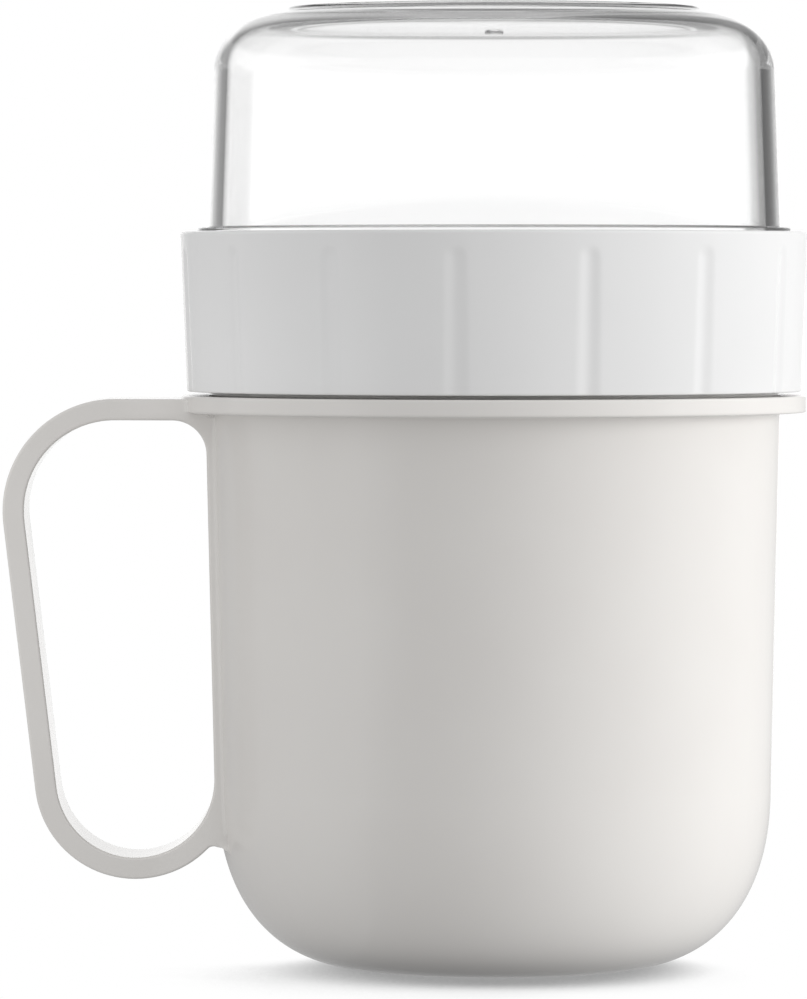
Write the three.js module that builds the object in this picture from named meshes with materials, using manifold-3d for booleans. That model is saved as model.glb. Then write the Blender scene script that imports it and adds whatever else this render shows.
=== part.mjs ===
// Breakfast to-go cup: a mug with a loop handle, a grooved screw lid that closes it, and a clear
// bowl that plugs into the top of the lid upside down, as a dome over the second compartment.
// Millimetres, +Z up. The axis of the mug is Z, it stands on z = 0 and its handle points to -X.
import * as THREE from "three";
import { mergeVertices } from "three/addons/utils/BufferGeometryUtils.js";
import Module from "manifold-3d";

// Facets round a full turn, along a large curve, along a rounding and along a fine edge
const turnSteps = 48;
const curveSteps = 8;
const roundSteps = 2;
const edgeSteps = 1;

// Mug body: the corner between base and wall is a superellipse, the wall leans out by its draft
const baseRadius = 20.2;
const cornerReach = 24.8;
const cornerHeight = 30;
const cornerExponent = 2.33;
const bodyHeight = 90;
const wallDraft = 1.35;
const bodyWall = 2.2;
const floorThickness = 2.4;
const footWidth = 2.6;
const footHeight = 0.8;

// Flange that stops the lid, and the neck that the lid screws on to
const flangeReach = 4.3;
const flangeThickness = 2.6;
const flangeRound = 0.5;
const neckInset = 0.2;
const neckWall = 2;
const rimRound = 0.5;

// Loop handle: a flat band of even thickness, bent in the XZ plane
const handleProjection = 33;
const handleWidth = 18;
const handleBand = 3.45;
const handleEdge = 0.6;
const handleBelowFlangeTop = 0.35;
const upperBendRadius = 14.65;
const lowerBendRadius = 12.8;
const lowerBendHeight = 31.2;
const strapProud = 0.15;
const strapFillet = 5.5;
const notchFillet = 1.4;

// Screw lid: skirt over the neck, floor, centring ring below it and rebated socket above it
const lidGap = 0.77;
const lidHeight = 25.85;
const lidWall = 2.2;
const lidTaper = 1.06;
const lidTopRound = 0.8;
const lidBottomRound = 0.5;
const lidRimWall = 2.45;
const lidFloor = 2;
const threadRoom = 1.4;
const centringWall = 1.8;
const centringDepth = 4;
const centringClearance = 1;
const leadInChamfer = 0.4;
const socketFillet = 1;

// Grip grooves of the lid, open at its lower edge
const grooveCount = 15;
const facetsPerGroove = 4;
const grooveStart = 16.7;
const grooveWidth = 3.2;
const grooveFootWidth = 3.6;
const grooveDepth = 0.5;
const grooveBelowTop = 3.2;

// Flat gasket in the groove between the lid's skirt and its centring ring
const gasketThickness = 1.6;
const gasketClearance = 0.3;
const gasketEdge = 0.25;

// Clear bowl: its flange sinks into the lid's rebate, its foot ring is on top
const domeHeight = 37.1;
const domeWall = 2.25;
const domeTaper = 0.9;
const domeFlangeThickness = 1.7;
const domeFlangeSink = 0.85;
const domeFlangeClearance = 0.3;
const domeFlangeRound = 0.35;
const domeFlangeLedge = 1.7;
const domeRootFillet = 0.5;
const shoulderRound = 9.4;
const crownSlope = 12.5;
const domeFootInset = 11.6;
const domeFootWidth = 2;
const domeFootHeight = 0.8;
const domeFootFlare = 2.4;
const domeFootRound = 0.4;
const domeRecess = 1.6;
const gateRadius = 1;
const gateHeight = 0.5;

// Plug under the bowl's flange, with a groove for its lip seal
const plugWall = 2;
const plugFloorGap = 0.3;
const plugChamfer = 0.4;
const socketClearance = 0.7;
const sealHeight = 2.4;
const sealBody = 0.8;
const sealLipGap = 0.25;
const sealGrooveDepth = 1.2;
const sealGrooveClearance = 0.2;
const sealAbovePlugEnd = 1.1;
const sealBelowFlange = 0.77;

const degrees = Math.PI / 180;

// Radii that several pieces share
const bodyTopRadius = bodyRadiusAt(bodyHeight);
const neckRadius = bodyTopRadius - neckInset;
const neckBore = neckRadius - neckWall;
const skirtBore = neckRadius + threadRoom;
const centringRadius = neckBore - centringClearance;
const lidBottomRadius = skirtBore + lidWall;
const lidTopRadius = lidBottomRadius + lidTaper;
const rebateRadius = lidTopRadius - lidRimWall;
const domeFlangeRadius = rebateRadius - domeFlangeClearance;
const plugRadius = domeFlangeRadius - domeFlangeLedge;
const sealGrooveRadius = plugRadius - sealGrooveDepth;
const socketBore = plugRadius + socketClearance;
const shoulderRadius = plugRadius - domeTaper;
const domeFootRadius = shoulderRadius - domeFootInset;

// Heights above the table that several pieces share, from the table up and then down from the
// bowl's flange: the neck ends where the plug, the lid's floor and the gasket leave off
const sealGrooveHeight = sealHeight + sealGrooveClearance;
const plugLength = sealAbovePlugEnd + sealGrooveHeight + sealBelowFlange;
const flangeTop = bodyHeight + flangeThickness;
const lidBottom = flangeTop + lidGap;
const domeSeat = lidBottom + lidHeight - domeFlangeSink;
const plugEnd = domeSeat - plugLength;
const lidFloorUnder = plugEnd - plugFloorGap - lidFloor;
const rimHeight = lidFloorUnder - gasketThickness;

const wasm = await Module();
wasm.setup();

// A point of a profile: distance from the axis, or x on the handle, and height
function at(r, z) {
  return new THREE.Vector2(r, z);
}

// Points along a circular arc, angles in degrees counted anticlockwise from the +r direction
function arc(r, z, radius, from, to, steps = roundSteps) {
  const start = from * degrees;
  const end = to * degrees;
  return new THREE.EllipseCurve(r, z, radius, radius, start, end, to < from).getPoints(steps);
}

// Quarter of a superellipse about (r, z), from its lowest point to its outermost point
function superellipseCorner(r, z, reach, height) {
  const power = 2 / cornerExponent;
  return Array.from({ length: curveSteps + 1 }, (_, step) => {
    const turn = (step / curveSteps) * 90 * degrees;
    return at(r + reach * Math.sin(turn) ** power, z - height * Math.cos(turn) ** power);
  });
}

// Outside radius of the mug at a height above the table, up to its flange
function bodyRadiusAt(z) {
  if (z >= cornerHeight) {
    return baseRadius + cornerReach + Math.tan(wallDraft * degrees) * (z - cornerHeight);
  }
  const drop = 1 - z / cornerHeight;
  return baseRadius + cornerReach * (1 - drop ** cornerExponent) ** (1 / cornerExponent);
}

// Turns a profile about Z. Angle 0 is at -Y and grows towards +X.
function revolve(profile, steps = turnSteps, startAngle = 0) {
  return new THREE.LatheGeometry(profile, steps, startAngle * degrees).rotateX(Math.PI / 2);
}

function solidOf(geometry) {
  const bare = geometry.clone();
  bare.deleteAttribute("normal");
  bare.deleteAttribute("uv");
  const merged = mergeVertices(bare);
  const vertProperties = merged.attributes.position.array;
  const triVerts = new Uint32Array(merged.index.array);
  return new wasm.Manifold(new wasm.Mesh({ numProp: 3, vertProperties, triVerts }));
}

function geometryOf(solid) {
  const { vertProperties, triVerts } = solid.getMesh();
  const geometry = new THREE.BufferGeometry();
  geometry.setAttribute("position", new THREE.BufferAttribute(vertProperties, 3));
  geometry.setIndex(new THREE.BufferAttribute(triVerts, 1));
  geometry.computeVertexNormals();
  return geometry;
}

// A named mesh, lifted to the height that its own heights are counted from
function piece(name, geometry, height, look) {
  const mesh = new THREE.Mesh(geometry, new THREE.MeshStandardMaterial(look));
  mesh.name = name;
  mesh.position.z = height;
  return mesh;
}

// The mug without its handle, filled up to the rim
function beakerOutside() {
  const footInner = baseRadius - footWidth;
  const flangeEdge = bodyTopRadius + flangeReach - flangeRound;
  return revolve([
    at(0, footHeight),
    at(footInner - footHeight, footHeight),
    at(footInner, 0),
    ...superellipseCorner(baseRadius, cornerHeight, cornerReach, cornerHeight),
    at(bodyTopRadius, bodyHeight),
    ...arc(flangeEdge, bodyHeight + flangeRound, flangeRound, -90, 0),
    ...arc(flangeEdge, flangeTop - flangeRound, flangeRound, 0, 90),
    at(neckRadius, flangeTop),
    ...arc(neckRadius - rimRound, rimHeight - rimRound, rimRound, 0, 90, edgeSteps),
    at(0, rimHeight),
  ]);
}

// The space inside the mug, carried on above the rim so that it cuts the mouth open
function beakerInside() {
  const cutAbove = 1;
  const floor = footHeight + floorThickness;
  return revolve([
    at(0, floor),
    ...superellipseCorner(baseRadius, cornerHeight, cornerReach - bodyWall, cornerHeight - floor),
    at(bodyTopRadius - bodyWall, bodyHeight),
    at(neckBore, flangeTop),
    ...arc(neckBore + rimRound, rimHeight - rimRound, rimRound, 180, 90, edgeSteps),
    at(neckBore + rimRound, rimHeight + cutAbove),
    at(0, rimHeight + cutAbove),
  ]);
}

function circle(x, z, radius) {
  return { centre: at(x, z), radius };
}

function arcOf({ centre, radius }, from, to) {
  return arc(centre.x, centre.y, radius, from, to, curveSteps);
}

// Direction of the outside normal that two circles share, right of the line from first to second
function sharedNormal(first, second) {
  const line = second.centre.clone().sub(first.centre);
  const lean = Math.acos((first.radius - second.radius) / line.length());
  return (line.angle() - lean) / degrees;
}

// Fillet in the notch between the outside of the lower bend and the wall of the mug
function notchCircle(bend) {
  const apart = bend.radius + notchFillet;
  const notch = circle(0, bend.centre.y - bend.radius, notchFillet);
  for (let pass = 0; pass < 20; pass += 1) {
    notch.centre.x = -(bodyRadiusAt(notch.centre.y) + notchFillet);
    notch.centre.y = bend.centre.y - Math.sqrt(apart ** 2 - (notch.centre.x - bend.centre.x) ** 2);
  }
  return notch;
}

// Side view of the handle: a band round the finger gap, whose root ends inside the mug's wall
function handleShape() {
  const top = flangeTop - handleBelowFlangeTop;
  const gapTop = top - handleBand;
  const strapTop = gapTop - strapFillet;
  const strapFace = (z) => -(bodyRadiusAt(z) + strapProud);
  const upperX = handleBand + upperBendRadius - bodyTopRadius - handleProjection;
  const lowerX = strapFace(lowerBendHeight) - lowerBendRadius;
  const upperGap = circle(upperX, gapTop - upperBendRadius, upperBendRadius);
  const lowerGap = circle(lowerX, lowerBendHeight, lowerBendRadius);
  const strapGap = circle(strapFace(strapTop) - strapFillet, strapTop, strapFillet);
  const upperBand = circle(upperX, upperGap.centre.y, upperBendRadius + handleBand);
  const lowerBand = circle(lowerX, lowerBendHeight, lowerBendRadius + handleBand);
  const notch = notchCircle(lowerBand);
  const rootX = bodyWall - bodyRadiusAt(notch.centre.y);
  const barNormal = sharedNormal(upperBand, lowerBand);
  const strapNormal = sharedNormal(lowerGap, strapGap);
  const towardsNotch = notch.centre.clone().sub(lowerBand.centre).angle() / degrees;

  const shape = new THREE.Shape([
    at(rootX, top),
    ...arcOf(upperBand, 90, barNormal),
    ...arcOf(lowerBand, barNormal, towardsNotch),
    ...arcOf(notch, towardsNotch - 180, 0).slice(1),
    at(rootX, notch.centre.y),
  ]);
  const gap = new THREE.Path([
    ...arcOf(upperGap, 90, barNormal),
    ...arcOf(lowerGap, barNormal, strapNormal + 360),
    ...arcOf(strapGap, strapNormal, 90),
  ]);
  shape.holes.push(gap);
  return shape;
}

function handleBlock() {
  const block = new THREE.ExtrudeGeometry(handleShape(), {
    depth: handleWidth - 2 * handleEdge,
    bevelThickness: handleEdge,
    bevelSize: handleEdge,
    bevelOffset: -handleEdge,
    bevelSegments: roundSteps,
  });
  return block.translate(0, 0, handleEdge - handleWidth / 2).rotateX(Math.PI / 2);
}

function makeCup() {
  const outside = solidOf(beakerOutside()).add(solidOf(handleBlock()));
  const cup = outside.subtract(solidOf(beakerInside()));
  return piece("cup", geometryOf(cup), 0, { color: 0xd9d6d1, roughness: 0.45, metalness: 0 });
}

// The lid without its grooves. Heights count from its lower edge.
function lidBlank() {
  const under = lidFloorUnder - lidBottom;
  const floor = under + lidFloor;
  const centringBore = centringRadius - centringWall;
  const centringEnd = under - centringDepth;
  const rebateFloor = lidHeight - domeFlangeSink;
  const facets = facetsPerGroove * grooveCount;
  const profile = [
    at(0, under),
    at(centringBore, under),
    at(centringBore, centringEnd + leadInChamfer),
    at(centringBore + leadInChamfer, centringEnd),
    at(centringRadius - leadInChamfer, centringEnd),
    at(centringRadius, centringEnd + leadInChamfer),
    at(centringRadius, under),
    at(skirtBore, under),
    at(skirtBore, leadInChamfer),
    at(skirtBore + leadInChamfer, 0),
    ...arc(lidBottomRadius - lidBottomRound, lidBottomRound, lidBottomRound, -90, 0),
    ...arc(lidTopRadius - lidTopRound, lidHeight - lidTopRound, lidTopRound, 0, 90),
    at(rebateRadius, lidHeight),
    at(rebateRadius, rebateFloor),
    at(socketBore, rebateFloor),
    ...arc(socketBore - socketFillet, floor + socketFillet, socketFillet, 0, -90),
    at(0, floor),
  ];
  return revolve(profile, facets, grooveStart + 180 / facets);
}

// Cutter for one grip groove, leaning with the taper of the lid's outside
function grooveCutter(angle) {
  const cutClear = 1;
  const endRadius = grooveWidth / 2;
  const endHeight = lidHeight - grooveBelowTop - endRadius;
  const outline = new THREE.Shape([
    at(-grooveFootWidth / 2, -cutClear),
    at(grooveFootWidth / 2, -cutClear),
    ...arc(0, endHeight, endRadius, 0, 180, 2 * roundSteps),
  ]);
  const depth = grooveDepth + cutClear;
  const cutter = new THREE.ExtrudeGeometry(outline, { depth, bevelEnabled: false });
  cutter.rotateX(Math.atan(lidTaper / lidHeight)).translate(0, 0, lidBottomRadius - grooveDepth);
  return cutter.rotateX(Math.PI / 2).rotateZ(angle * degrees);
}

function makeScrewLid() {
  let lid = solidOf(lidBlank());
  for (let groove = 0; groove < grooveCount; groove += 1) {
    const angle = grooveStart + (groove * 360) / grooveCount;
    lid = lid.subtract(solidOf(grooveCutter(angle)));
  }
  const look = { color: 0xecedee, roughness: 0.35, metalness: 0 };
  return piece("screw_lid", geometryOf(lid), lidBottom, look);
}

const siliconeLook = { color: 0xe4e4e2, roughness: 0.7, metalness: 0 };

// Flat ring with broken edges, lying on the rim of the mug
function makeLidGasket() {
  const inner = centringRadius + gasketClearance;
  const outer = skirtBore - gasketClearance;
  const profile = [
    at(inner + gasketEdge, 0),
    at(outer - gasketEdge, 0),
    at(outer, gasketEdge),
    at(outer, gasketThickness - gasketEdge),
    at(outer - gasketEdge, gasketThickness),
    at(inner + gasketEdge, gasketThickness),
    at(inner, gasketThickness - gasketEdge),
    at(inner, gasketEdge),
    at(inner + gasketEdge, 0),
  ];
  return piece("lid_gasket", revolve(profile), rimHeight, siliconeLook);
}

// Ring with two lips that wipe the wall of the lid's socket
function makeDomeSeal() {
  const inner = sealGrooveRadius + sealGrooveClearance;
  const outer = inner + sealBody;
  const lip = socketBore - sealLipGap;
  const quarter = sealHeight / 4;
  const profile = [
    at(inner, 0),
    at(outer, 0),
    at(lip, quarter),
    at(outer, 2 * quarter),
    at(lip, 3 * quarter),
    at(outer, sealHeight),
    at(inner, sealHeight),
    at(inner, 0),
  ];
  return piece("dome_seal", revolve(profile), plugEnd + sealAbovePlugEnd, siliconeLook);
}

// Inside of the clear bowl, from the gate mark on its ceiling to the end of its plug
function domeInside() {
  const ceiling = domeHeight - domeRecess - domeWall;
  const round = shoulderRound - domeWall;
  const plugBore = plugRadius - plugWall;
  return [
    at(0, ceiling - gateHeight),
    at(gateRadius, ceiling - gateHeight),
    at(gateRadius, ceiling),
    ...arc(shoulderRadius - shoulderRound, ceiling - round, round, 90, 0, curveSteps),
    at(plugBore, 0),
    at(plugBore, plugChamfer - plugLength),
    at(plugBore + plugChamfer, -plugLength),
  ];
}

// Outside of the plug, with the groove that holds the seal, and the flange above it
function domePlugAndFlange() {
  const grooveHigh = -sealBelowFlange;
  const grooveLow = grooveHigh - sealGrooveHeight;
  const edge = domeFlangeRadius - domeFlangeRound;
  return [
    at(plugRadius - plugChamfer, -plugLength),
    at(plugRadius, plugChamfer - plugLength),
    at(plugRadius, grooveLow),
    at(sealGrooveRadius, grooveLow),
    at(sealGrooveRadius, grooveHigh),
    at(plugRadius, grooveHigh),
    at(plugRadius, 0),
    ...arc(edge, domeFlangeRound, domeFlangeRound, -90, 0, edgeSteps),
    ...arc(edge, domeFlangeThickness - domeFlangeRound, domeFlangeRound, 0, 90, edgeSteps),
  ];
}

// Outside of the bowl above its flange: wall, shoulder, sloping crown and foot ring
function domeOutside() {
  const slope = crownSlope * degrees;
  const centreR = shoulderRadius - shoulderRound;
  const crownEnd = domeFootRadius + domeFootFlare;
  const crownTop = domeHeight - domeFootHeight;
  const crownRun = centreR + shoulderRound * Math.sin(slope) - crownEnd;
  const centreZ = crownTop - crownRun * Math.tan(slope) - shoulderRound * Math.cos(slope);
  const rootZ = domeFlangeThickness + domeRootFillet;
  const footEdge = domeHeight - domeFootRound;
  const footInner = domeFootRadius - domeFootWidth;
  return [
    ...arc(plugRadius + domeRootFillet, rootZ, domeRootFillet, -90, -180, edgeSteps),
    ...arc(centreR, centreZ, shoulderRound, 0, 90 - crownSlope, curveSteps),
    at(crownEnd, crownTop),
    ...arc(domeFootRadius - domeFootRound, footEdge, domeFootRound, 0, 90, edgeSteps),
    ...arc(footInner + domeFootRound, footEdge, domeFootRound, 90, 180, edgeSteps),
    at(footInner, domeHeight - domeRecess),
    at(0, domeHeight - domeRecess),
  ];
}

// Heights of the bowl count from the underside of its flange, which sits in the lid's rebate
function makeDome() {
  const profile = [...domeInside(), ...domePlugAndFlange(), ...domeOutside()];
  const look = { color: 0xf4f7f8, roughness: 0.05, metalness: 0, transparent: true, opacity: 0.3 };
  return piece("dome", revolve(profile), domeSeat, look);
}

const breakfastCup = new THREE.Group();
breakfastCup.add(makeCup(), makeLidGasket(), makeScrewLid(), makeDomeSeal(), makeDome());

export default breakfastCup;
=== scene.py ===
# Breakfast to-go cup: off-white mug with a loop handle, white screw lid with grip grooves, clear
# bowl plugged upside down into the lid, and the two silicone rings that seal them.
import math

import bmesh
import bpy
from mathutils import Matrix, Vector


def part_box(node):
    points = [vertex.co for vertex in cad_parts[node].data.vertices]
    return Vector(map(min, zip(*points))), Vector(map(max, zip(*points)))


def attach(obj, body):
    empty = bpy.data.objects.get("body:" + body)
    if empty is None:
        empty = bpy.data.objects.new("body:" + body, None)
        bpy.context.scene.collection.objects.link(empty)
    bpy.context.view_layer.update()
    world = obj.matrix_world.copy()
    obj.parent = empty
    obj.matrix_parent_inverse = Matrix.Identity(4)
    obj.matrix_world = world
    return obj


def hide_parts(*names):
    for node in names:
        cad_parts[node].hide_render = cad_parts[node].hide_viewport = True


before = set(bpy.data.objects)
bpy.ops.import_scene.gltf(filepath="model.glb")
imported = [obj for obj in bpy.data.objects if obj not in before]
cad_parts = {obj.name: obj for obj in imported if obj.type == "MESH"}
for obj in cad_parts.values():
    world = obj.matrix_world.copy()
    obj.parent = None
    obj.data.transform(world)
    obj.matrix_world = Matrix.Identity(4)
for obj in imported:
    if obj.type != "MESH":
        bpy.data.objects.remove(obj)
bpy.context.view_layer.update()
mm = 0.001  # pieces are drawn in millimetres and scaled to metres when they are finished
print("frame loaded:", ", ".join(sorted(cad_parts)))


def nodeSizes(node):
    # heights of a CAD node, and how near and far it lies from the axis
    spots = [vert.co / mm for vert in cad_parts[node].data.vertices]
    heights = [spot.z for spot in spots]
    reaches = [math.hypot(spot.x, spot.y) for spot in spots]
    return {"bottom": min(heights), "top": max(heights), "inner": min(reaches), "outer": max(reaches)}


cupLow, cupHigh = (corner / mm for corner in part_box("cup"))
lidFrame = nodeSizes("screw_lid")
bowlFrame = nodeSizes("dome")
gasketFrame = nodeSizes("lid_gasket")
lipFrame = nodeSizes("dome_seal")


# outlines and spinning

meshing = {
    "arcStep": 0.5,       # length of a segment on a rounded corner
    "leastSegments": 4,
    "holdRow": 0.12,      # rows this close to the ends keep a straight run's shading flat
    "straightRun": 0.8,   # an edge longer than this is a straight run
    "weld": 0.001,
    "sharpAngle": 38,
}


def roundCorner(bm, vert, radius):
    before, after = (edge.other_vert(vert).co - vert.co for edge in vert.link_edges)
    turn = math.pi - before.angle(after)
    segments = max(meshing["leastSegments"], round(radius * turn / meshing["arcStep"]))
    bmesh.ops.bevel(bm, geom=[vert], offset=radius * math.tan(turn / 2), offset_type="OFFSET",
                    affect="VERTICES", segments=segments, profile=0.5, material=-1)


def holdStraightRuns(bm):
    hold = meshing["holdRow"]
    for edge in [edge for edge in bm.edges if edge.calc_length() > meshing["straightRun"]]:
        start, end = edge.verts
        length = edge.calc_length()
        _, split = bmesh.utils.edge_split(edge, start, hold / length)
        rest = bm.edges.get((split, end))
        bmesh.utils.edge_split(rest, end, hold / (length - hold))


def drawOutline(bm, corners, closed=False):
    # wire in the XZ plane; a corner is (radius, height) or (radius, height, rounding)
    verts = [bm.verts.new((corner[0], 0, corner[1])) for corner in corners]
    following = verts[1:] + verts[:1] if closed else verts[1:]
    for pair in zip(verts, following):
        bm.edges.new(pair)
    for vert, corner in zip(verts, corners):
        if len(corner) > 2:
            roundCorner(bm, vert, corner[2])
    holdStraightRuns(bm)


def closeShell(bm):
    bmesh.ops.remove_doubles(bm, verts=bm.verts, dist=meshing["weld"])
    bmesh.ops.recalc_face_normals(bm, faces=bm.faces)


def spinFull(bm, steps):
    bmesh.ops.spin(bm, geom=bm.verts[:] + bm.edges[:], cent=(0, 0, 0), axis=(0, 0, 1),
                   angle=2 * math.pi, steps=steps, use_merge=True)
    closeShell(bm)


def repeatRound(bm, count):
    bmesh.ops.spin(bm, geom=bm.verts[:] + bm.edges[:] + bm.faces[:], cent=(0, 0, 0), axis=(0, 0, 1),
                   angle=2 * math.pi * (count - 1) / count, steps=count - 1, use_duplicate=True)


def turnAboutAxis(degrees):
    return Matrix.Rotation(math.radians(degrees), 3, "Z")


def addMesh(bm, part):
    carrier = bpy.data.meshes.new("carrier")
    part.to_mesh(carrier)
    part.free()
    bm.from_mesh(carrier)
    bpy.data.meshes.remove(carrier)


def finishPiece(bm, name, material, body, node):
    bmesh.ops.scale(bm, vec=(mm, mm, mm), verts=bm.verts)
    for face in bm.faces:
        face.smooth = True
    mesh = bpy.data.meshes.new(name)
    bm.to_mesh(mesh)
    bm.free()
    mesh.set_sharp_from_angle(angle=math.radians(meshing["sharpAngle"]))
    mesh.materials.append(material)
    piece = bpy.data.objects.new(name, mesh)
    bpy.context.scene.collection.objects.link(piece)
    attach(piece, body)
    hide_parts(node)
    print("made", name, "with", len(mesh.polygons), "faces")
    return piece


def smoothStep(low, high, value):
    share = min(max((value - low) / (high - low), 0), 1)
    return share * share * (3 - 2 * share)


# materials

def hexColour(text):
    channels = [int(text[place:place + 2], 16) / 255 for place in (1, 3, 5)]
    linear = [c / 12.92 if c <= 0.04045 else ((c + 0.055) / 1.055) ** 2.4 for c in channels]
    return (*linear, 1)


def addNode(tree, kind, values=None, links=None, **settings):
    node = tree.nodes.new(kind)
    for name, value in settings.items():
        setattr(node, name, value)
    for socket, value in (values or {}).items():
        node.inputs[socket].default_value = value
    for socket, source in (links or {}).items():
        tree.links.new(source, node.inputs[socket])
    return node


def newMaterial(name):
    material = bpy.data.materials.new(name)
    material.use_nodes = True
    material.node_tree.nodes.clear()
    return material, material.node_tree


def perMillimetre(size):
    # scale of a pattern on Object coordinates, in metres, whose features are this many mm wide
    return 1 / (size * mm)


mugPlastic = {
    "name": "moulded polypropylene, warm off-white",
    "light": "#DFDDDA", "dark": "#DAD7D4",
    "cloud": 22, "grain": 0.5, "grainHeight": 0.0006,
    "smooth": 0.11, "rough": 0.17, "ior": 1.49, "matt": 0,
}

lidPlastic = {
    "name": "moulded polypropylene, cool white",
    "light": "#F0F0F0", "dark": "#EBEBEB",
    "cloud": 26, "grain": 0.4, "grainHeight": 0.0015,
    "smooth": 0.21, "rough": 0.27, "ior": 1.43, "matt": 0.65,
}


def mottledSkin(tree, look):
    # faintly clouded colour under a grain, which is drawn coarser than the real one so that it shows:
    # gives how cloudy each spot is, its colour and its normal
    place = addNode(tree, "ShaderNodeTexCoord")
    spot = place.outputs["Object"]
    cloud = addNode(tree, "ShaderNodeTexNoise",
                    {"Scale": perMillimetre(look["cloud"]), "Detail": 3}, {"Vector": spot})
    grain = addNode(tree, "ShaderNodeTexNoise",
                    {"Scale": perMillimetre(look["grain"]), "Detail": 2}, {"Vector": spot})
    colour = addNode(tree, "ShaderNodeMix",
                     {"A": hexColour(look["dark"]), "B": hexColour(look["light"])},
                     {"Factor": cloud.outputs["Fac"]}, data_type="RGBA")
    bump = addNode(tree, "ShaderNodeBump",
                   {"Strength": 1, "Distance": look["grainHeight"] * mm},
                   {"Height": grain.outputs["Fac"]})
    return cloud.outputs["Fac"], colour.outputs["Result"], bump.outputs["Normal"]


def mouldedPolypropylene(look):
    # satin skin off a finely eroded mould: soft wide highlights, faint clouds where the melt flowed,
    # and the more matt it is, the more evenly it is lit from side to side
    material, tree = newMaterial(look["name"])
    cloud, colour, normal = mottledSkin(tree, look)
    gloss = addNode(tree, "ShaderNodeMapRange",
                    {"To Min": look["smooth"], "To Max": look["rough"]}, {"Value": cloud})
    skin = addNode(tree, "ShaderNodeBsdfPrincipled",
                   {"IOR": look["ior"], "Diffuse Roughness": look["matt"]},
                   {"Base Color": colour, "Roughness": gloss.outputs["Result"], "Normal": normal})
    addNode(tree, "ShaderNodeOutputMaterial", links={"Surface": skin.outputs["BSDF"]})
    return material


clearPlastic = {
    "name": "clear polished SAN",
    "tint": "#FDFDFD", "ior": 1.57, "smooth": 0.0, "rough": 0.03,
    "wave": 14, "waveHeight": 0.004,
}


def polishedSan(look):
    # polished glass-clear plastic: sharp reflections, dark lines where its edges turn the light away
    material, tree = newMaterial(look["name"])
    place = addNode(tree, "ShaderNodeTexCoord")
    wave = addNode(tree, "ShaderNodeTexNoise",
                   {"Scale": perMillimetre(look["wave"]), "Detail": 1},
                   {"Vector": place.outputs["Object"]})
    gloss = addNode(tree, "ShaderNodeMapRange",
                    {"To Min": look["smooth"], "To Max": look["rough"]},
                    {"Value": wave.outputs["Fac"]})
    bump = addNode(tree, "ShaderNodeBump",
                   {"Strength": 1, "Distance": look["waveHeight"] * mm},
                   {"Height": wave.outputs["Fac"]})
    skin = addNode(tree, "ShaderNodeBsdfPrincipled",
                   {"Base Color": hexColour(look["tint"]), "IOR": look["ior"],
                    "Transmission Weight": 1},
                   {"Roughness": gloss.outputs["Result"], "Normal": bump.outputs["Normal"]})
    addNode(tree, "ShaderNodeOutputMaterial", links={"Surface": skin.outputs["BSDF"]})
    return material


sealRubber = {
    "name": "moulded silicone rubber, milky",
    "light": "#E9E9E5", "dark": "#DEDEDA",
    "cloud": 9, "grain": 0.35, "grainHeight": 0.006, "rough": 0.55, "ior": 1.41, "soak": 0.2,
}


def mouldedSilicone(look):
    # milky matt rubber: light soaks in a little, and no sharp highlight shows
    material, tree = newMaterial(look["name"])
    _, colour, normal = mottledSkin(tree, look)
    skin = addNode(tree, "ShaderNodeBsdfPrincipled",
                   {"Roughness": look["rough"], "IOR": look["ior"],
                    "Subsurface Weight": look["soak"], "Subsurface Scale": mm},
                   {"Base Color": colour, "Normal": normal})
    addNode(tree, "ShaderNodeOutputMaterial", links={"Surface": skin.outputs["BSDF"]})
    return material


# screw thread, shared by the neck of the mug and the skirt of the lid

# turn, fade and firstAngle are degrees
thread = {
    "starts": 3, "lead": 12, "turn": 150, "steps": 60, "fade": 14,
    "footHalf": 0.8, "crestHalf": 0.35, "crestEdge": 0.2, "sunk": 0.3,
    "firstHeight": 97.2, "firstAngle": 30,
}


def addThread(bm, wall, crest, height):
    # ridges that climb anticlockwise and sink into the wall at both ends
    ridge = bmesh.new()
    sink = wall - math.copysign(thread["sunk"], crest - wall)
    low, high = height - thread["footHalf"], height + thread["footHalf"]
    crestLow, crestHigh = height - thread["crestHalf"], height + thread["crestHalf"]
    drawOutline(ridge, [
        (sink, low),
        (crest, crestLow, thread["crestEdge"]),
        (crest, crestHigh, thread["crestEdge"]),
        (sink, high),
    ], True)
    turn = math.radians(thread["turn"])
    climb = thread["lead"] * thread["turn"] / 360 / thread["steps"]
    bmesh.ops.spin(ridge, geom=ridge.verts[:] + ridge.edges[:], cent=(0, 0, 0), axis=(0, 0, 1),
                   dvec=(0, 0, climb), angle=turn, steps=thread["steps"])
    for vert in ridge.verts:
        along = math.atan2(vert.co.y, vert.co.x)
        grown = smoothStep(0, math.radians(thread["fade"]), min(along, turn - along))
        reach = math.hypot(vert.co.x, vert.co.y)
        scale = (sink + (reach - sink) * grown) / reach
        vert.co.x *= scale
        vert.co.y *= scale
    bmesh.ops.holes_fill(ridge, edges=[edge for edge in ridge.edges if edge.is_boundary], sides=0)
    bmesh.ops.recalc_face_normals(ridge, faces=ridge.faces)
    bmesh.ops.rotate(ridge, cent=(0, 0, 0), verts=ridge.verts,
                     matrix=turnAboutAxis(thread["firstAngle"]))
    repeatRound(ridge, thread["starts"])
    addMesh(bm, ridge)


# mug

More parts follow.
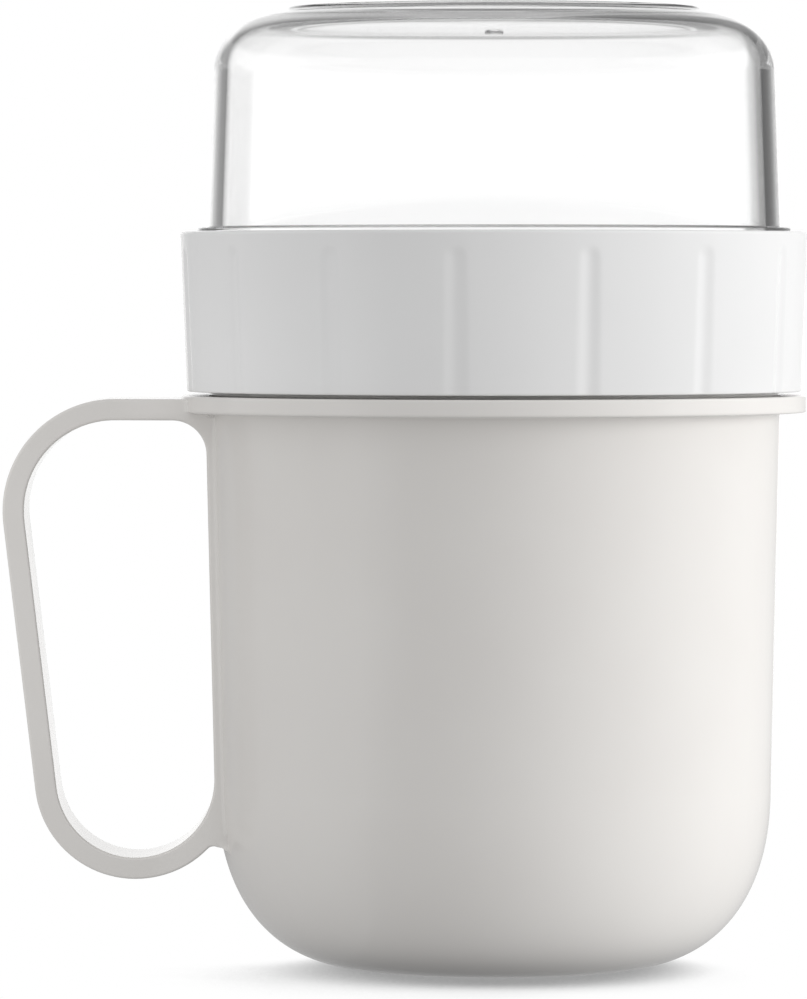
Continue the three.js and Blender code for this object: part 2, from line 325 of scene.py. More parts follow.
mug = {
    "steps": 180, "cornerRows": 64,
    "baseRadius": 20.2, "cornerReach": 24.8, "cornerHeight": 30, "cornerExponent": 2.33,
    "bodyHeight": 90, "wallDraft": 1.35, "wall": 2.2, "floor": 2.4,
    "footWidth": 2.6, "footHeight": 0.8, "footEdge": 0.3, "recessEdge": 0.4,
    "gateRadius": 1.5, "gateHeight": 0.35, "gateEdge": 0.12,
    "flangeThickness": 2.75, "flangeEdge": 0.35, "underFlange": 0.3,
    "neckInset": 0.2, "neckWall": 2, "neckFoot": 0.15, "rimEdge": 0.7, "threadHeight": 1.0,
    "flangeRadius": cupHigh.x, "rim": cupHigh.z,
}


def bodyRadius(height):
    if height >= mug["cornerHeight"]:
        lean = math.tan(math.radians(mug["wallDraft"])) * (height - mug["cornerHeight"])
        return mug["baseRadius"] + mug["cornerReach"] + lean
    drop = 1 - height / mug["cornerHeight"]
    power = mug["cornerExponent"]
    return mug["baseRadius"] + mug["cornerReach"] * (1 - drop ** power) ** (1 / power)


def mugCorner(reach, height):
    # quarter superellipse between base and wall, from its lowest to its outermost point
    power = 2 / mug["cornerExponent"]
    turns = [math.pi / 2 * row / mug["cornerRows"] for row in range(mug["cornerRows"] + 1)]
    return [(mug["baseRadius"] + reach * math.sin(turn) ** power,
             mug["cornerHeight"] - height * max(math.cos(turn), 0) ** power) for turn in turns]


def mugOutline():
    foot, body = mug["footHeight"], mug["bodyHeight"]
    footInner = mug["baseRadius"] - mug["footWidth"]
    floor = foot + mug["floor"]
    flangeTop = body + mug["flangeThickness"]
    wallTop = bodyRadius(body)
    neck = wallTop - mug["neckInset"]
    bore = neck - mug["neckWall"]
    gate = mug["gateRadius"]
    outside = [
        (0, foot - mug["gateHeight"]),
        (gate, foot - mug["gateHeight"], mug["gateEdge"]),
        (gate, foot, mug["gateEdge"]),
        (footInner - foot, foot, mug["recessEdge"]),
        (footInner, 0, mug["footEdge"]),
        *mugCorner(mug["cornerReach"], mug["cornerHeight"]),
        (wallTop, body, mug["underFlange"]),
        (mug["flangeRadius"], body, mug["flangeEdge"]),
        (mug["flangeRadius"], flangeTop, mug["flangeEdge"]),
        (neck, flangeTop, mug["neckFoot"]),
        (neck, mug["rim"], mug["rimEdge"]),
    ]
    inside = [
        (bore, mug["rim"], mug["rimEdge"]),
        (wallTop - mug["wall"], body),
        *reversed(mugCorner(mug["cornerReach"] - mug["wall"], mug["cornerHeight"] - floor)),
        (0, floor),
    ]
    return outside + inside


# flares run between two places along X, and flangeBlend between two heights from the flange's underside
handle = {
    "tip": cupLow.x,
    "width": 18, "band": 3.45, "edge": 0.4, "belowFlangeTop": 0.5,
    "upperBend": 14.65, "lowerBend": 12.8, "lowerBendHeight": 30.98,
    "strapProud": 0.15, "strapFillet": 5.5, "edgeReturn": 1.3,
    "notchFillet": 1.4, "notchTurn": 14, "notchRounds": 20,
    "rootFillet": 0.8, "rootDepth": 2.05, "rootOverlap": 0.05, "buriedEdge": 0.1, "flangeBlend": (-0.7, 0.2),
    "wallFlare": 1.7, "wallFlareStart": -56, "wallFlareEnd": -44,
    "armFlare": 2.2, "armFlareStart": -62, "armFlareEnd": -48.5, "armFlareBelow": 6,
    "wrapTop": 22, "wrapFade": 1.5, "wrapReach": 0.6,
    "bendSteps": 36, "lineSteps": 24, "edgeRows": 7, "faceRows": 26,
}


def heading(degrees):
    return Vector((math.cos(math.radians(degrees)), math.sin(math.radians(degrees))))


def arcPoints(centre, radius, start, end, steps):
    return [centre + radius * heading(start + (end - start) * step / steps) for step in range(steps + 1)]


def linePoints(start, end, steps):
    return [start.lerp(end, step / steps) for step in range(1, steps)]


def tangentHeading(first, firstRadius, second, secondRadius):
    # direction of the outside normal that two circles share, right of the line between them
    line = second - first
    lean = math.degrees(math.acos((firstRadius - secondRadius) / line.length))
    return math.degrees(math.atan2(line.y, line.x)) - lean


def wallPoint(height, depth):
    return Vector((depth - bodyRadius(min(height, mug["bodyHeight"])), height))


def notchCentre(bend, bendRadius):
    # centre of the fillet between the outside of the lower bend and the wall of the mug
    apart = bendRadius + handle["notchFillet"]
    centre = Vector((0, bend.y - bendRadius))
    for _ in range(handle["notchRounds"]):
        centre.x = -bodyRadius(centre.y) - handle["notchFillet"]
        centre.y = bend.y - math.sqrt(apart ** 2 - (centre.x - bend.x) ** 2)
    return centre


def handleStations():
    # (point on the finger gap, point on the outside or inside the wall, rounding of the outer edge)
    band, bends, lines, edge = handle["band"], handle["bendSteps"], handle["lineSteps"], handle["edge"]
    buried, depth = handle["buriedEdge"], handle["rootDepth"]
    top = mug["bodyHeight"] + mug["flangeThickness"] - handle["belowFlangeTop"]
    gapTop = top - band
    strapTop = gapTop - handle["strapFillet"]
    upper = Vector((handle["tip"] + band + handle["upperBend"], gapTop - handle["upperBend"]))
    lowerFace = wallPoint(handle["lowerBendHeight"], -handle["strapProud"])
    lower = lowerFace - Vector((handle["lowerBend"], 0))
    fillet = wallPoint(strapTop, -handle["strapProud"]) - Vector((handle["strapFillet"], 0))
    upperOut, lowerOut = handle["upperBend"] + band, handle["lowerBend"] + band
    bar = tangentHeading(upper, upperOut, lower, lowerOut) % 360
    strap = tangentHeading(lower, handle["lowerBend"], fillet, handle["strapFillet"])
    notch = notchCentre(lower, lowerOut)
    towards = math.degrees(math.atan2(notch.y - lower.y, notch.x - lower.x)) % 360
    rootStart = towards + handle["notchTurn"]

    arm = list(zip(linePoints(Vector((fillet.x, gapTop)), Vector((upper.x, gapTop)), lines),
                   linePoints(Vector((fillet.x, top)), Vector((upper.x, top)), lines)))
    upperArc = list(zip(arcPoints(upper, handle["upperBend"], 90, bar, bends),
                        arcPoints(upper, upperOut, 90, bar, bends)))
    lowerArc = list(zip(arcPoints(lower, handle["lowerBend"], bar, towards, bends),
                        arcPoints(lower, lowerOut, bar, towards, bends)))
    barLine = list(zip(linePoints(upperArc[-1][0], lowerArc[0][0], lines),
                       linePoints(upperArc[-1][1], lowerArc[0][1], lines)))
    notchArc = list(zip(arcPoints(lower, handle["lowerBend"], towards, rootStart, lines)[1:],
                        arcPoints(notch, handle["notchFillet"], towards - 180, 0, lines)[1:]))
    rootArc = arcPoints(lower, handle["lowerBend"], rootStart, strap + 360, lines)[1:]
    rootHeights = [notch.y + (rootArc[-1].y - notch.y) * (step + 1) / lines for step in range(lines)]
    filletArc = arcPoints(fillet, handle["strapFillet"], strap, 90, 2 * lines)
    strapLine = linePoints(rootArc[-1], filletArc[0], 2 * lines)
    corner = wallPoint(top, depth)
    filletOut = [wallPoint(strapTop + (top - strapTop) * step / lines, depth) for step in range(lines)]
    filletOut += [corner.lerp(Vector((fillet.x, top)), step / lines) for step in range(lines + 1)]

    stations = [(*pair, edge) for pair in arm + upperArc + barLine + lowerArc]
    fading = [edge + (buried - edge) * smoothStep(0.5, 1, (step + 1) / lines) for step in range(lines)]
    stations += [(*pair, rounding) for pair, rounding in zip(notchArc, fading)]
    stations += [(gap, wallPoint(height, depth), buried) for gap, height in zip(rootArc, rootHeights)]
    stations += [(gap, wallPoint(gap.y, depth), buried) for gap in strapLine]
    roundings = [buried + (edge - buried) * smoothStep(1, handle["edgeReturn"], step / lines)
                 for step in range(2 * lines + 1)]
    stations += list(zip(filletArc, filletOut, roundings))
    return stations


def handleRows():
    # half section of the band at every station, from the middle of the gap side round the front
    half, edge = handle["width"] / 2, handle["edge"]
    rounds = [math.pi / 2 * row / handle["edgeRows"] for row in range(handle["edgeRows"] + 1)]
    shares = [row / handle["faceRows"] for row in range(1, handle["faceRows"])]
    hold = 2 * meshing["holdRow"]
    columns = []
    for gap, outer, outerEdge in handleStations():
        across = outer - gap
        length = across.length
        section = [(0, 0), (0, half - edge - hold)]
        section += [(edge * (1 - math.cos(turn)), half - edge * (1 - math.sin(turn))) for turn in rounds]
        section += [(edge + (length - edge - outerEdge) * share, half) for share in shares]
        section += [(length - outerEdge * (1 - math.sin(turn)), half - outerEdge * (1 - math.cos(turn)))
                    for turn in rounds]
        section += [(length, half - outerEdge - hold), (length, 0)]
        columns.append([(*(gap + across * (along / length)), -side) for along, side in section])
    return [[Vector((x, y, z)) for x, z, y in row] for row in zip(*columns)]


def sweepRing(bm, rows):
    # first row drawn as a closed wire, and every other row extruded from the one before
    verts = [bm.verts.new(spot) for spot in rows[0]]
    edges = [bm.edges.new(pair) for pair in zip(verts, verts[1:] + verts[:1])]
    for row in rows[1:]:
        made = set(bmesh.ops.extrude_edge_only(bm, edges=edges)["geom"])
        verts = [next(edge.other_vert(vert) for edge in vert.link_edges if edge.other_vert(vert) in made)
                 for vert in verts]
        for vert, spot in zip(verts, row):
            vert.co = spot
        edges = [bm.edges.get(pair) for pair in zip(verts, verts[1:] + verts[:1])]


def rootFlare(spot):
    # how much wider each half of the handle gets towards the wall, and more so at the flange
    wall = handle["wallFlare"] * smoothStep(handle["wallFlareStart"], handle["wallFlareEnd"], spot.x)
    arm = handle["armFlare"] * smoothStep(handle["armFlareStart"], handle["armFlareEnd"], spot.x)
    return wall + (arm - wall) * smoothStep(-handle["armFlareBelow"], 0, spot.z - mug["bodyHeight"])


def rootFillet(spot):
    # how far a face of the handle swings out in the fillet that leads it into the wall or the flange
    fillet = handle["rootFillet"]
    half = handle["width"] / 2 + rootFlare(spot) + fillet
    wall = bodyRadius(min(spot.z, mug["bodyHeight"]))
    wall += (mug["flangeRadius"] - wall) * smoothStep(*handle["flangeBlend"], spot.z - mug["bodyHeight"])
    wall -= handle["rootOverlap"]
    centre = -math.sqrt((wall + fillet) ** 2 - half ** 2)
    along = min(max(spot.x - centre, 0), -centre * fillet / (wall + fillet))
    return fillet - math.sqrt(fillet ** 2 - along ** 2)


def notchWrap(spot):
    # how far the end of the notch under the handle follows the round wall inwards
    radius = bodyRadius(spot.z)
    outside = -radius - spot.x
    share = 1 - smoothStep(-handle["wrapFade"], 0, spot.z - handle["wrapTop"])
    share *= 1 - smoothStep(0, handle["wrapReach"], outside)
    return share * (radius - math.sqrt(radius ** 2 - spot.y ** 2))


def addHandle(bm):
    band = bmesh.new()
    sweepRing(band, handleRows())
    band.normal_update()
    for vert in band.verts:
        vert.co.y *= 1 + rootFlare(vert.co) / (handle["width"] / 2)
        vert.co.y -= rootFillet(vert.co) * vert.normal.y ** 2
        vert.co.x += notchWrap(vert.co)
    bmesh.ops.mirror(band, geom=band.verts[:] + band.edges[:] + band.faces[:], axis="Y",
                     merge_dist=meshing["weld"])
    closeShell(band)
    addMesh(bm, band)


def makeMug(material):
    bm = bmesh.new()
    drawOutline(bm, mugOutline())
    spinFull(bm, mug["steps"])
    neck = bodyRadius(mug["bodyHeight"]) - mug["neckInset"]
    addThread(bm, neck, neck + mug["threadHeight"], thread["firstHeight"])
    addHandle(bm)
    return finishPiece(bm, "mug_with_handle", material, "cup", "cup")


# screw lid

lid = {
    "bottom": lidFrame["bottom"], "height": lidFrame["top"] - lidFrame["bottom"],
    "topRadius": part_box("screw_lid")[1].x / mm, "taper": 1.06, "topEdge": 0.5, "bottomEdge": 0.3,
    "wall": 2.2, "rimWall": 2.45, "rebate": 0.85, "socketBore": 47.124, "socketFillet": 1,
    "floor": 2, "floorUnder": gasketFrame["top"], "centringWall": 1.8, "centringDepth": 4,
    "gasketClearance": 0.3, "smallEdge": 0.25, "leadIn": 0.4, "threadHeight": 1.0,
    "grooves": 15, "firstGroove": 16.5, "grooveWidth": 4.2, "grooveFoot": 4.6,
    "grooveDepth": 0.3, "grooveBelowTop": 2.1, "gripRows": 64,
}

# spin of one groove's share of the lid: degrees and steps, fine across the groove
grooveSpin = [(9, 4), (6, 16), (9, 4)]


def lidOutline():
    bottom, height, edge = lid["bottom"], lid["height"], lid["smallEdge"]
    top, under = bottom + height, lid["floorUnder"]
    bottomRadius = lid["topRadius"] - lid["taper"]
    bore = bottomRadius - lid["wall"]
    centring = gasketFrame["inner"] - lid["gasketClearance"]
    centringBore = centring - lid["centringWall"]
    centringEnd = under - lid["centringDepth"]
    rebate = lid["topRadius"] - lid["rimWall"]
    seat = top - lid["rebate"]
    floor = under + lid["floor"]
    return [
        (0, under),
        (centringBore, under, edge),
        (centringBore, centringEnd, lid["leadIn"]),
        (centring, centringEnd, lid["leadIn"]),
        (centring, under, edge),
        (bore, under, edge),
        (bore, bottom, lid["leadIn"]),
        (bottomRadius, bottom, lid["bottomEdge"]),
        (lid["topRadius"], top, lid["topEdge"]),
        (rebate, top, edge),
        (rebate, seat, edge),
        (lid["socketBore"], seat, edge),
        (lid["socketBore"], floor, lid["socketFillet"]),
        (0, floor),
    ]


def addGripRows(bm):
    # rows up the outside of the lid, close together where the grooves end
    skirt = lid["topRadius"] - lid["taper"] - lid["bottomEdge"]
    outside = max((edge for edge in bm.edges if all(vert.co.x > skirt for vert in edge.verts)),
                  key=lambda edge: edge.calc_length())
    bmesh.ops.subdivide_edges(bm, edges=[outside], cuts=lid["gripRows"])


def grooveShare(spot):
    # 1 in the middle of a grip groove, 0 on the face of the lid, a soft scallop between
    share = 360 / lid["grooves"]
    angle = math.degrees(math.atan2(spot.x, -spot.y)) - lid["firstGroove"]
    offset = (angle + share / 2) % share - share / 2
    sideways = abs(math.radians(offset)) * math.hypot(spot.x, spot.y)
    up = spot.z - lid["bottom"]
    end = lid["height"] - lid["grooveBelowTop"] - lid["grooveWidth"] / 2
    half = (lid["grooveFoot"] + (lid["grooveWidth"] - lid["grooveFoot"]) * min(up / end, 1)) / 2
    away = math.hypot(sideways, max(up - end, 0)) / half
    return (1 + math.cos(math.pi * min(away, 1))) / 2


def cutGrooves(bm):
    skirt = lid["topRadius"] - lid["taper"] - lid["wall"] / 2
    for vert in bm.verts:
        reach = math.hypot(vert.co.x, vert.co.y)
        if reach > skirt:
            scale = 1 - lid["grooveDepth"] * grooveShare(vert.co) / reach
            vert.co.x *= scale
            vert.co.y *= scale


def makeLid(material):
    bm = bmesh.new()
    drawOutline(bm, lidOutline())
    addGripRows(bm)
    start = lid["firstGroove"] - 90 - 180 / lid["grooves"]
    bmesh.ops.rotate(bm, cent=(0, 0, 0), matrix=turnAboutAxis(start), verts=bm.verts)
    last = bm.verts[:] + bm.edges[:]
    for degrees, steps in grooveSpin:
        last = bmesh.ops.spin(bm, geom=last, cent=(0, 0, 0), axis=(0, 0, 1),
                              angle=math.radians(degrees), steps=steps)["geom_last"]
    repeatRound(bm, lid["grooves"])
    closeShell(bm)
    cutGrooves(bm)
    bore = lid["topRadius"] - lid["taper"] - lid["wall"]
    halfPitch = thread["lead"] / thread["starts"] / 2
    addThread(bm, bore, bore - lid["threadHeight"], thread["firstHeight"] - halfPitch)
    return finishPiece(bm, "grip_lid", material, "screw_lid", "screw_lid")


# clear bowl

bowl = {
    "steps": 240,
    "seat": lid["bottom"] + lid["height"] - lid["rebate"], "top": bowlFrame["top"],
    "plugEnd": bowlFrame["bottom"], "flangeRadius": bowlFrame["outer"],
    "wall": 2.2, "taper": 1.2, "flangeThickness": 1.45, "flangeLedge": 1.7, "flangeEdge": 0.15,
    "rootFillet": 0.15, "shoulder": 9.4, "innerShoulder": 7.4, "crownSlope": 11.1, "crownEdge": 1,
    "footInset": 11.6, "footWidth": 2, "footHeight": 0.8, "footFlare": 1.2, "footEdge": 0.4,
    "recess": 1.3, "floor": 1.6, "innerBend": 9.4,
    "gateRadius": 1.5, "gateHeight": 0.8, "gateEdge": 0.2, "plugWall": 2.2, "plugEdge": 0.4,
    "sealGrooveDepth": 1.2, "sealClearance": 0.1, "smallEdge": 0.15,
}


def bowlOutline():
    seat, top, edge = bowl["seat"], bowl["top"], bowl["smallEdge"]
    plug = bowl["flangeRadius"] - bowl["flangeLedge"]
    shoulder = plug - bowl["taper"]
    disc = top - bowl["recess"]
    ceiling = disc - bowl["floor"]
    flangeTop = seat + bowl["flangeThickness"]
    sealSeat = plug - bowl["sealGrooveDepth"]
    grooveLow = lipFrame["bottom"] - bowl["sealClearance"]
    grooveHigh = lipFrame["top"] + bowl["sealClearance"]
    foot = shoulder - bowl["footInset"]
    footInner = foot - bowl["footWidth"]
    crownTop = top - bowl["footHeight"]
    crownEnd = foot + bowl["footFlare"]
    slope = math.tan(math.radians(bowl["crownSlope"]))
    cornerHeight = crownTop - slope * (shoulder - crownEnd)
    gate = bowl["gateRadius"]
    inside = [
        (0, ceiling - bowl["gateHeight"]),
        (gate, ceiling - bowl["gateHeight"], bowl["gateEdge"]),
        (gate, ceiling, edge),
        (shoulder - bowl["wall"], ceiling, bowl["innerShoulder"]),
        (plug - bowl["plugWall"], seat, bowl["innerBend"]),
        (plug - bowl["plugWall"], bowl["plugEnd"], bowl["plugEdge"]),
    ]
    plugOutside = [
        (plug, bowl["plugEnd"], bowl["plugEdge"]),
        (plug, grooveLow, edge),
        (sealSeat, grooveLow, edge),
        (sealSeat, grooveHigh, edge),
        (plug, grooveHigh, edge),
        (plug, seat, edge),
        (bowl["flangeRadius"], seat, bowl["flangeEdge"]),
        (bowl["flangeRadius"], flangeTop, bowl["flangeEdge"]),
    ]
    outside = [
        (plug, flangeTop, bowl["rootFillet"]),
        (shoulder, cornerHeight, bowl["shoulder"]),
        (crownEnd, crownTop, bowl["crownEdge"]),
        (foot, top - bowl["footEdge"], bowl["footEdge"] / 2),
        (foot - bowl["footEdge"], top, bowl["footEdge"] / 2),
        (footInner, top, bowl["footEdge"]),
        (footInner, disc, bowl["footEdge"]),
        (0, disc),
    ]
    return inside + plugOutside + outside


def makeBowl(material):
    bm = bmesh.new()
    drawOutline(bm, bowlOutline())
    spinFull(bm, bowl["steps"])
    piece = finishPiece(bm, "clear_bowl", material, "dome", "dome")
    piece.visible_shadow = False  # clear plastic lets the lamps through to the lid under it
    return piece


# silicone rings

rings = {"steps": 160, "gasketEdge": 0.4, "lipBody": 0.8, "lipEdge": 0.16}


def makeGasket(material):
    inner, outer = gasketFrame["inner"], gasketFrame["outer"]
    low, high, edge = gasketFrame["bottom"], gasketFrame["top"], rings["gasketEdge"]
    bm = bmesh.new()
    drawOutline(bm, [(inner, low, edge), (outer, low, edge), (outer, high, edge), (inner, high, edge)], True)
    spinFull(bm, rings["steps"])
    return finishPiece(bm, "lid_sealing_ring", material, "lid_gasket", "lid_gasket")


def makeLipSeal(material):
    inner, lip, edge = lipFrame["inner"], lipFrame["outer"], rings["lipEdge"]
    body = inner + rings["lipBody"]
    low, quarter = lipFrame["bottom"], (lipFrame["top"] - lipFrame["bottom"]) / 4
    bm = bmesh.new()
    drawOutline(bm, [
        (inner, low, edge),
        (body, low, edge),
        (lip, low + quarter, edge),
        (body, low + 2 * quarter, edge),
        (lip, low + 3 * quarter, edge),
        (body, low + 4 * quarter, edge),
        (inner, low + 4 * quarter, edge),
    ], True)
    spinFull(bm, rings["steps"])
    return finishPiece(bm, "bowl_lip_seal", material, "dome", "dome_seal")


# studio: white surround, soft light from the right, camera where the photo was taken

# reaches in metres, the tilt in degrees, light as shares of white, directions by how far they lean
studio = {
    # the floor glows instead of being lit: floorLight is its glow, and the shadow and shade keys draw its
    # painted shadow
    "floorRadius": 4, "floorSides": 96, "floorLight": 0.46, "farFloor": (0.15, 0.5),
    "shadowReach": 0.25, "shadowTilt": 45, "shadowSamples": 16,
    "shadeLow": 0.13, "shadeHigh": 0.46, "darkest": 0.28, "contactReach": 0.008, "contactSamples": 4,
    "ambient": 0.68, "brightest": 1.3, "flagHeight": (0.12, 0.24), "aboveShade": 0.36,
    "mirrorStart": (0.35, 0.5), "mirrorBack": 1.2,
    "mirrorLeft": 0.45, "leftSide": (-0.44, -0.26), "mirrorRight": 0.58, "rightSide": (0.19, 0.26),
}

# surround that shows through the clear bowl: degrees right of straight behind, and how bright it is
surroundView = 50
surround = [
    (-38, 1.3), (-33, 0.25), (-27, 0.27), (-22, 0.46), (-20, 0.62), (-16, 0.93), (-12, 1.12), (-8, 1.1),
    (-4, 1.04), (4, 1.04), (8, 1.15), (11.7, 1.2), (13.5, 0.45), (16, 0.4), (19, 0.22), (22, 0.08),
    (26, 0.02), (43, 0.02), (47, 1.3),
]

# wide soft light: degrees round from the camera to the right, degrees up, spread, light on a wall
keyLamp = {"side": 83, "rise": 2, "spread": 40, "light": 0.88}

# small soft light aimed at the handle: places and size in mm, spread in degrees, and how much light
# falls on a wall this far away
fillLamp = {
    "place": (-190, -150, 64), "aim": (-85, 0, 60),
    "size": 120, "spread": 90, "light": 0.38, "away": 185,
}


def mirroredPanel(tree, axes):
    # bright panel straight behind, as smooth faces mirror it, and dimmer surround left and right of it
    lean = addNode(tree, "ShaderNodeMath", links={0: axes.outputs["X"], 1: axes.outputs["Y"]},
                   operation="DIVIDE")
    leftOut, leftIn = studio["leftSide"]
    left = addNode(tree, "ShaderNodeMapRange",
                   {"From Min": leftOut, "From Max": leftIn, "To Min": studio["mirrorLeft"],
                    "To Max": studio["mirrorBack"]}, {"Value": lean.outputs[0]})
    rightIn, rightOut = studio["rightSide"]
    right = addNode(tree, "ShaderNodeMapRange",
                    {"From Min": rightIn, "From Max": rightOut, "To Max": studio["mirrorRight"]},
                    {"Value": lean.outputs[0], "To Min": left.outputs["Result"]})
    return right.outputs["Result"]


def glowingFloorWithPaintedShadow():
    # white sweep that glows rather than being lit, with a painted shadow drawn from ambient occlusion close
    # under the mug
    material, tree = newMaterial("glowing white sweep with painted shadow")
    path = addNode(tree, "ShaderNodeLightPath")
    seen = addNode(tree, "ShaderNodeMath",
                   links={0: path.outputs["Is Camera Ray"], 1: path.outputs["Is Transmission Ray"]},
                   operation="MAXIMUM")
    tilt = math.radians(studio["shadowTilt"])  # the painted shadow leans forwards, as if light came from behind
    backwards = addNode(tree, "ShaderNodeCombineXYZ", {"Y": math.sin(tilt), "Z": math.cos(tilt)})
    openSky = addNode(tree, "ShaderNodeAmbientOcclusion", {"Distance": studio["shadowReach"]},
                      {"Normal": backwards.outputs[0]}, samples=studio["shadowSamples"])
    shade = addNode(tree, "ShaderNodeMapRange",
                    {"From Min": studio["shadeLow"], "From Max": studio["shadeHigh"],
                     "To Min": studio["darkest"], "To Max": 1}, {"Value": openSky.outputs["AO"]})
    contact = addNode(tree, "ShaderNodeAmbientOcclusion", {"Distance": studio["contactReach"]},
                      samples=studio["contactSamples"])
    # painted light: towards the mug the floor glows at this strength, darker in the contact gap, in place of
    # light thrown back by a lit floor
    bounceGlow = addNode(tree, "ShaderNodeMath", {1: studio["floorLight"]},
                     {0: contact.outputs["AO"]}, operation="MULTIPLY")
    place = addNode(tree, "ShaderNodeTexCoord")
    axes = addNode(tree, "ShaderNodeSeparateXYZ", links={0: place.outputs["Object"]})
    farStart, farEnd = studio["farFloor"]
    # painted reflection: the floor glows brighter far behind, so that smooth faces mirror a bright panel
    # there
    mirrored = addNode(tree, "ShaderNodeMapRange",
                       {"From Min": farStart, "From Max": farEnd, "To Min": studio["floorLight"]},
                       {"Value": axes.outputs["Y"], "To Max": mirroredPanel(tree, axes)})
    rayGlow = addNode(tree, "ShaderNodeMix",
                  links={"Factor": path.outputs["Is Glossy Ray"], "A": bounceGlow.outputs[0],
                         "B": mirrored.outputs["Result"]}, data_type="FLOAT")
    strength = addNode(tree, "ShaderNodeMix",
                       links={"Factor": seen.outputs[0], "A": rayGlow.outputs["Result"],
                              "B": shade.outputs["Result"]}, data_type="FLOAT")
    # the whole floor is a glow, neither a lamp nor lit: painted shadow to the camera, painted light to the
    # mug
    white = addNode(tree, "ShaderNodeEmission", links={"Strength": strength.outputs["Result"]})
    addNode(tree, "ShaderNodeOutputMaterial", links={"Surface": white.outputs[0]})
    return material


def makeFloor():
    bm = bmesh.new()
    bmesh.ops.create_circle(bm, cap_ends=True, segments=studio["floorSides"], radius=studio["floorRadius"])
    mesh = bpy.data.meshes.new("studio_floor")
    bm.to_mesh(mesh)
    bm.free()
    mesh.materials.append(glowingFloorWithPaintedShadow())
    floor = bpy.data.objects.new("studio_floor", mesh)
    bpy.context.scene.collection.objects.link(floor)
    floor.visible_shadow = False  # the key also lights from below, as if thrown back by a bright table


def flagShade(tree, axes):
    # bright panel behind with dark flags beside and above it: they draw the clear bowl's edges
    turned = addNode(tree, "ShaderNodeMath", links={0: axes.outputs["X"], 1: axes.outputs["Y"]},
                     operation="ARCTAN2")
    edge = math.radians(surroundView)
    across = addNode(tree, "ShaderNodeMapRange", {"From Min": -edge, "From Max": edge},
                     {"Value": turned.outputs[0]})
    panel = addNode(tree, "ShaderNodeValToRGB", links={"Fac": across.outputs["Result"]})
    stops = panel.color_ramp.elements
    stops.remove(stops[1])
    for degrees, bright in surround:
        share = bright / studio["brightest"]
        stops.new(0.5 + degrees / surroundView / 2).color = (share, share, share, 1)
    stops.remove(stops[0])  # the ramp's own first stop
    flagLow, flagHigh = studio["flagHeight"]
    above = addNode(tree, "ShaderNodeMapRange",
                    {"From Min": flagLow, "From Max": flagHigh, "To Min": studio["brightest"],
                     "To Max": studio["aboveShade"] * studio["brightest"]},
                    {"Value": axes.outputs["Z"]}, interpolation_type="SMOOTHSTEP")
    return addNode(tree, "ShaderNodeMath",
                   links={0: panel.outputs["Color"], 1: above.outputs["Result"]},
                   operation="MULTIPLY").outputs[0]


def mirrorShade(tree, axes):
    # what smooth faces mirror: the panel and its sides behind, and white elsewhere
    start, full = studio["mirrorStart"]
    return addNode(tree, "ShaderNodeMapRange", {"From Min": start, "From Max": full, "To Min": 1},
                   {"Value": axes.outputs["Y"], "To Max": mirroredPanel(tree, axes)},
                   interpolation_type="SMOOTHSTEP").outputs["Result"]


def makeWorld():
    # white to the camera, softer as light, with dim sides in what smooth faces mirror, and with dark
    # flags in what shows through the clear bowl
    world = bpy.data.worlds.new("studio surround")
    bpy.context.scene.world = world
    world.use_nodes = True
    tree = world.node_tree
    tree.nodes.clear()
    path = addNode(tree, "ShaderNodeLightPath")
    place = addNode(tree, "ShaderNodeTexCoord")
    axes = addNode(tree, "ShaderNodeSeparateXYZ", links={0: place.outputs["Generated"]})
    strength = addNode(tree, "ShaderNodeMix", {"A": studio["ambient"]},
                       {"Factor": path.outputs["Is Glossy Ray"], "B": mirrorShade(tree, axes)},
                       data_type="FLOAT")
    direct = addNode(tree, "ShaderNodeMath", {1: 0.5}, {0: path.outputs["Diffuse Depth"]},
                     operation="LESS_THAN")  # the flags only draw the bowl, and don't dim the lid under it
    seen = addNode(tree, "ShaderNodeMath",
                   links={0: path.outputs["Is Transmission Ray"], 1: direct.outputs[0]},
                   operation="MULTIPLY")
    strength = addNode(tree, "ShaderNodeMix",
                       links={"Factor": seen.outputs[0], "A": strength.outputs["Result"],
                              "B": flagShade(tree, axes)}, data_type="FLOAT")
    strength = addNode(tree, "ShaderNodeMix", {"B": 1.0},
                       {"Factor": path.outputs["Is Camera Ray"], "A": strength.outputs["Result"]},
                       data_type="FLOAT")
    light = addNode(tree, "ShaderNodeBackground", {"Color": (1, 1, 1, 1)},
                    {"Strength": strength.outputs["Result"]})
    addNode(tree, "ShaderNodeOutputWorld", links={"Surface": light.outputs[0]})


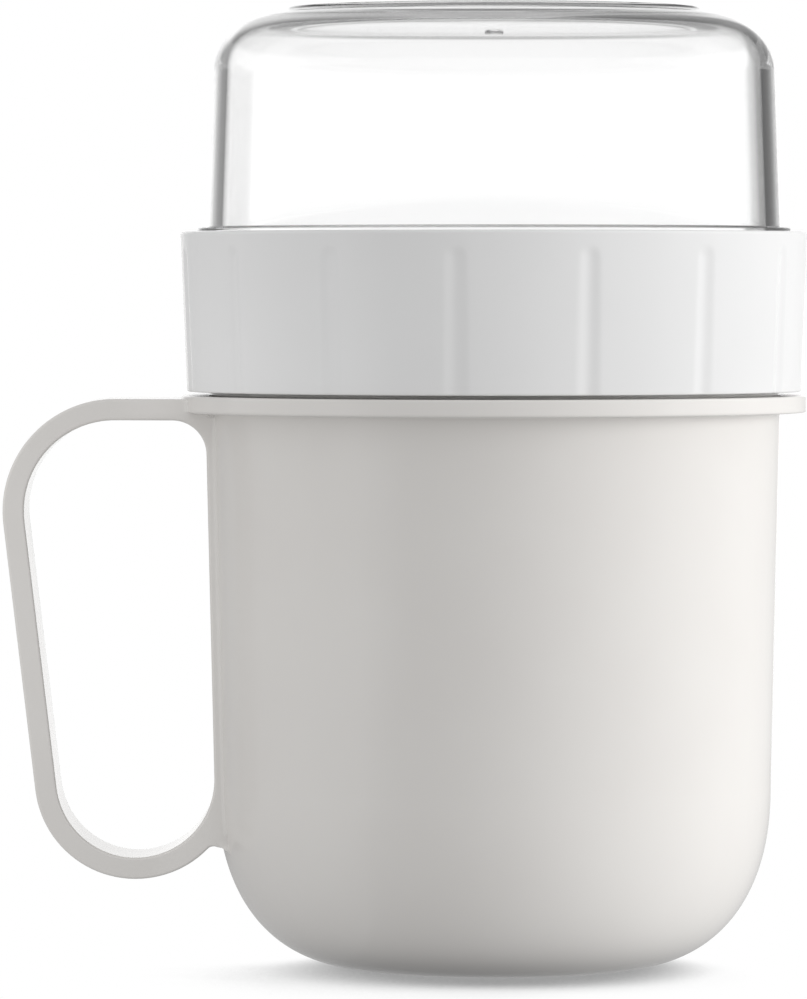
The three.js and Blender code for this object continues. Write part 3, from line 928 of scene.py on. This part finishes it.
def placeLamp(light, source, target):
    # seen only as light: its disc would show as a hard spot in the clear bowl
    lamp = bpy.data.objects.new(light.name, light)
    lamp.location = source
    lamp.rotation_euler = (target - source).to_track_quat("-Z", "Y").to_euler()
    lamp.visible_camera = False
    lamp.visible_glossy = False
    lamp.visible_transmission = False
    bpy.context.scene.collection.objects.link(lamp)


def makeKeyLamp():
    light = bpy.data.lights.new("soft_key", "SUN")
    light.angle = math.radians(keyLamp["spread"])
    side, rise = math.radians(keyLamp["side"]), math.radians(keyLamp["rise"])
    light.energy = math.pi * keyLamp["light"] / math.cos(rise)
    source = Vector((math.sin(side) * math.cos(rise), -math.cos(side) * math.cos(rise), math.sin(rise)))
    placeLamp(light, source, Vector((0, 0, 0)))


def makeFillLamp():
    light = bpy.data.lights.new("soft_fill", "AREA")
    light.shape = "DISK"
    light.size = fillLamp["size"] * mm
    light.spread = math.radians(fillLamp["spread"])
    half = light.spread / 2
    gain = math.tan(half) / (math.tan(half) - half)  # a narrower spread is brighter along its middle
    light.energy = math.pi ** 2 * fillLamp["light"] * (fillLamp["away"] * mm) ** 2 / gain
    placeLamp(light, Vector(fillLamp["place"]) * mm, Vector(fillLamp["aim"]) * mm)


# places and lens in mm, the end of its view in metres
camera = {"side": -14.68, "distance": 1176.5, "height": 110.9, "aim": 75.77, "lens": 261.15, "clipEnd": 20}


def makeCamera():
    lens = bpy.data.cameras.new("photo_camera")
    lens.lens = camera["lens"]
    lens.clip_end = camera["clipEnd"]
    taker = bpy.data.objects.new("photo_camera", lens)
    taker.location = Vector((camera["side"], -camera["distance"], camera["height"])) * mm
    gaze = Vector((0, camera["distance"], camera["aim"] - camera["height"]))
    taker.rotation_euler = gaze.to_track_quat("-Z", "Y").to_euler()
    bpy.context.scene.collection.objects.link(taker)
    bpy.context.scene.camera = taker


makeMug(mouldedPolypropylene(mugPlastic))
makeLid(mouldedPolypropylene(lidPlastic))
makeBowl(polishedSan(clearPlastic))
rubber = mouldedSilicone(sealRubber)
makeGasket(rubber)
makeLipSeal(rubber)
print("pieces done")

makeFloor()
makeWorld()
makeKeyLamp()
makeFillLamp()
makeCamera()
bpy.context.scene.view_settings.view_transform = "Standard"
print("studio done")
